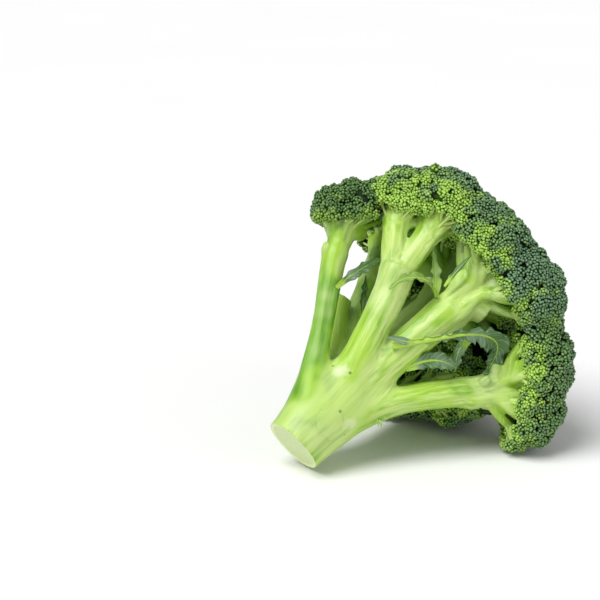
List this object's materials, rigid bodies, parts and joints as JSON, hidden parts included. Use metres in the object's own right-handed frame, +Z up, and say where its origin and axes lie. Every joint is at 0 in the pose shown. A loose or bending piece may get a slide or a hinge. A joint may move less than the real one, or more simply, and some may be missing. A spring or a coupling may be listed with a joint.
{
  "type": "broccoli head",
  "caption": "Head of broccoli lying on its side: a cut stalk parts into branches that carry rounded florets of small green buds, with a few small leaves between them.",
  "frame": {"origin": "on the surface that the head lies on, under the middle of its bounding box", "axes": "+Z up; the stalk's axis points from the cut towards +X, +Y and up; +Y is the side away from the open underside of the crown"},
  "size_m": [0.1578, 0.1402, 0.1449],
  "materials": {
    "stem_green": "smooth, slightly waxy light yellow-green skin with lengthwise streaks; pale moist flesh at the cut",
    "bud_green": "closed flower buds, matte bluish green with a wax bloom, yellower on the sheltered sides",
    "leaf_green": "thin glaucous leaf blade with a pale midrib and veins"
  },
  "bodies": {
    "root": {"axil_bud_lower": "bud_green", "axil_bud_side": "bud_green", "branch_centre": "stem_green", "branch_core": "stem_green", "branch_far": "stem_green", "branch_far_left": "stem_green", "branch_far_low": "stem_green", "branch_lower": "stem_green", "branch_main": "stem_green", "branch_side": "stem_green", "floret_centre_left": "bud_green", "floret_centre_right": "bud_green", "floret_centre_top": "bud_green", "floret_core_right": "bud_green", "floret_core_top": "bud_green", "floret_far_back": "bud_green", "floret_far_left_back": "bud_green", "floret_far_left_top": "bud_green", "floret_far_right": "bud_green", "floret_far_top": "bud_green", "floret_low_end": "bud_green", "floret_low_front": "bud_green", "floret_lower_end": "bud_green", "floret_lower_top": "bud_green", "floret_main_left": "bud_green", "floret_main_right": "bud_green", "floret_side_tip": "bud_green", "floret_side_top": "bud_green", "leaf_core_hanging": "leaf_green", "leaf_core_long": "leaf_green", "leaf_core_short": "leaf_green", "leaf_core_sliver": "leaf_green", "leaf_fork_curled": "leaf_green", "leaf_fork_upright": "leaf_green", "leaf_side": "leaf_green", "leaf_side_back": "leaf_green", "shoot_stub": "stem_green", "stalk": "stem_green", "twig_centre_left": "stem_green", "twig_centre_right": "stem_green", "twig_centre_top": "stem_green", "twig_core_right": "stem_green", "twig_core_top": "stem_green", "twig_far_back": "stem_green", "twig_far_left_back": "stem_green", "twig_far_left_top": "stem_green", "twig_far_right": "stem_green", "twig_far_top": "stem_green", "twig_low_end": "stem_green", "twig_low_front": "stem_green", "twig_lower_end": "stem_green", "twig_lower_top": "stem_green", "twig_main_left": "stem_green", "twig_main_right": "stem_green", "twig_side_tip": "stem_green", "twig_side_top": "stem_green"}
  },
  "joints": []
}
